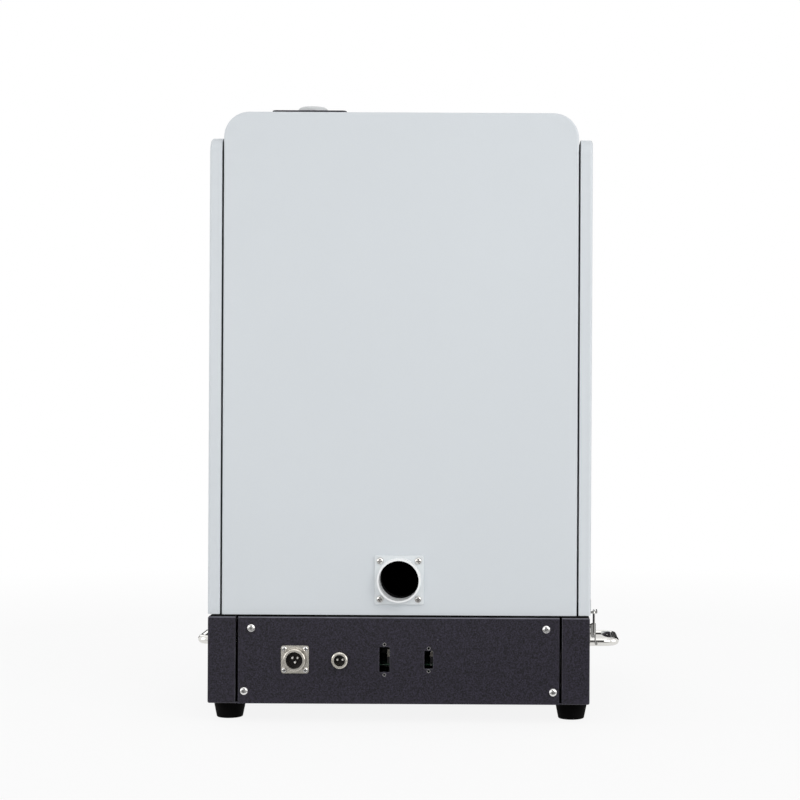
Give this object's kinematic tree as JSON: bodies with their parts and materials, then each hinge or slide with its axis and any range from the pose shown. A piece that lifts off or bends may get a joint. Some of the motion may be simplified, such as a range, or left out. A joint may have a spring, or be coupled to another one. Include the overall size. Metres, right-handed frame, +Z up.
{
  "type": "reflow oven",
  "caption": "Tall bench reflow oven with a pale hood on a black plinth, a windowed drawer for boards, side handles, rear fume outlet, top vent dial and round sockets.",
  "frame": {"origin": "on the bench, under the middle of the whole oven", "axes": "+Z up, +Y to the rear with the sockets, -Y to the drawer, -X to the picture's right with the latch"},
  "size_m": [0.508, 0.496, 0.6871],
  "materials": {
    "white_coat": "satin",
    "black_coat": "satin",
    "brushed_steel": "satin",
    "zinc_steel": "satin",
    "screw_steel": "gloss",
    "chrome": "polished",
    "nickel": "satin",
    "pin_metal": "gloss",
    "rubber": "matte",
    "silicone": "matte",
    "black_plastic": "matte",
    "pale_plastic": "satin",
    "grey_plastic": "satin",
    "green_plastic": "satin",
    "red_plastic": "gloss",
    "screen_glass": "gloss",
    "window_glass": "gloss",
    "quartz": "gloss",
    "ceramic": "matte",
    "mineral_wool": "matte",
    "aluminium": "satin",
    "board_green": "satin"
  },
  "bodies": {
    "chassis": {"plinth_pan": "black_coat", "deck_plate": "black_coat", "rear_plate": "black_coat", "front_plate": "black_coat", "button_screws": "screw_steel", "rubber_feet": "rubber", "socket_shells": "nickel", "socket_inserts": "black_plastic", "socket_pins": "pin_metal", "socket_screws": "nickel", "side_handles": "chrome", "latch_plate": "chrome", "latch_keeper": "chrome", "hood_shell": "white_coat", "rear_panel": "white_coat", "front_panel": "white_coat", "side_panel_left": "white_coat", "side_panel_right": "white_coat", "exhaust_spigot": "white_coat", "spigot_screws": "zinc_steel", "exhaust_fan_frame": "black_plastic", "fume_duct": "zinc_steel", "chamber_frame": "zinc_steel", "chamber_liner": "brushed_steel", "insulation_boards": "mineral_wool", "diffuser_plate": "brushed_steel", "heater_tubes": "quartz", "heater_caps": "ceramic", "thermocouple": "brushed_steel", "circulation_motor": "aluminium", "vent_plate": "black_coat", "slide_outer": "zinc_steel", "control_fascia": "black_coat", "display_screen": "screen_glass", "switch_housing": "black_plastic", "power_supply": "aluminium", "control_board": "board_green", "solid_state_relays": "black_plastic", "cooling_fan_frame": "black_plastic"},
    "drawer": {"drawer_front": "white_coat", "drawer_back": "brushed_steel", "window_panes": "window_glass", "window_frame": "black_coat", "drawer_handle": "brushed_steel", "drawer_gasket": "silicone", "board_tray": "brushed_steel", "slide_inner": "zinc_steel"},
    "slide_carriage": {"slide_middle": "zinc_steel"},
    "circulation_wheel": {"circulation_fan": "brushed_steel"},
    "exhaust_rotor": {"exhaust_fan_rotor": "black_plastic"},
    "cooling_rotor": {"cooling_fan_rotor": "black_plastic"},
    "vent_shutter": {"vent_dial": "pale_plastic"},
    "lever": {"latch_lever": "chrome"},
    "bail": {"latch_bail": "chrome"},
    "start_key": {"key_start": "green_plastic"},
    "stop_key": {"key_stop": "grey_plastic"},
    "knob": {"setting_knob": "black_plastic"},
    "stop_mushroom": {"stop_button": "red_plastic"},
    "rocker": {"switch_rocker": "black_plastic"}
  },
  "joints": [
    {"name": "drawer_slide", "type": "slide", "parent": "chassis", "child": "drawer", "axis": [0, -1, 0], "range_m": [0, 0.25]},
    {"name": "carriage_slide", "type": "slide", "parent": "chassis", "child": "slide_carriage", "axis": [0, -1, 0], "range_m": [0, 0.125]},
    {"name": "circulation_spin", "type": "hinge", "parent": "chassis", "child": "circulation_wheel", "pos_m": [0, -0.0344, 0.47], "axis": [0, 0, 1], "continuous": true},
    {"name": "exhaust_spin", "type": "hinge", "parent": "chassis", "child": "exhaust_rotor", "pos_m": [0, 0.183, 0.157], "axis": [0, 1, 0], "continuous": true},
    {"name": "cooling_spin", "type": "hinge", "parent": "chassis", "child": "cooling_rotor", "pos_m": [-0.12, -0.122, 0.0355], "axis": [0, 0, 1], "continuous": true},
    {"name": "vent_turn", "type": "hinge", "parent": "chassis", "child": "vent_shutter", "pos_m": [0.105, 0.162, 0.68], "axis": [0, 0, 1], "range_deg": [0, 30]},
    {"name": "lever_swing", "type": "hinge", "parent": "chassis", "child": "lever", "pos_m": [-0.2144, 0.208, 0.1039], "axis": [0, 1, 0], "range_deg": [0, 90]},
    {"name": "bail_swing", "type": "hinge", "parent": "lever", "child": "bail", "pos_m": [-0.2156, 0.208, 0.0959], "axis": [0, 1, 0], "range_deg": [-72.5, 0]},
    {"name": "start_press", "type": "slide", "parent": "chassis", "child": "start_key", "axis": [0, 1, 0], "range_m": [0, 0.002], "stiffness_N_per_m": 300},
    {"name": "stop_press", "type": "slide", "parent": "chassis", "child": "stop_key", "axis": [0, 1, 0], "range_m": [0, 0.002], "stiffness_N_per_m": 300},
    {"name": "knob_turn", "type": "hinge", "parent": "chassis", "child": "knob", "pos_m": [0.062, -0.19, 0.5878], "axis": [0, 1, 0], "continuous": true},
    {"name": "emergency_press", "type": "slide", "parent": "chassis", "child": "stop_mushroom", "axis": [0, 1, 0], "range_m": [0, 0.005]},
    {"name": "rocker_tip", "type": "hinge", "parent": "chassis", "child": "rocker", "pos_m": [0.118, -0.198, 0.0698], "axis": [-1, 0, 0], "range_deg": [0, 18]}
  ],
  "couplings": [
    {"joint": "carriage_slide", "follows": "drawer_slide", "ratio": 0.5},
    {"joint": "bail_swing", "follows": "lever_swing", "ratio": -0.8}
  ]
}
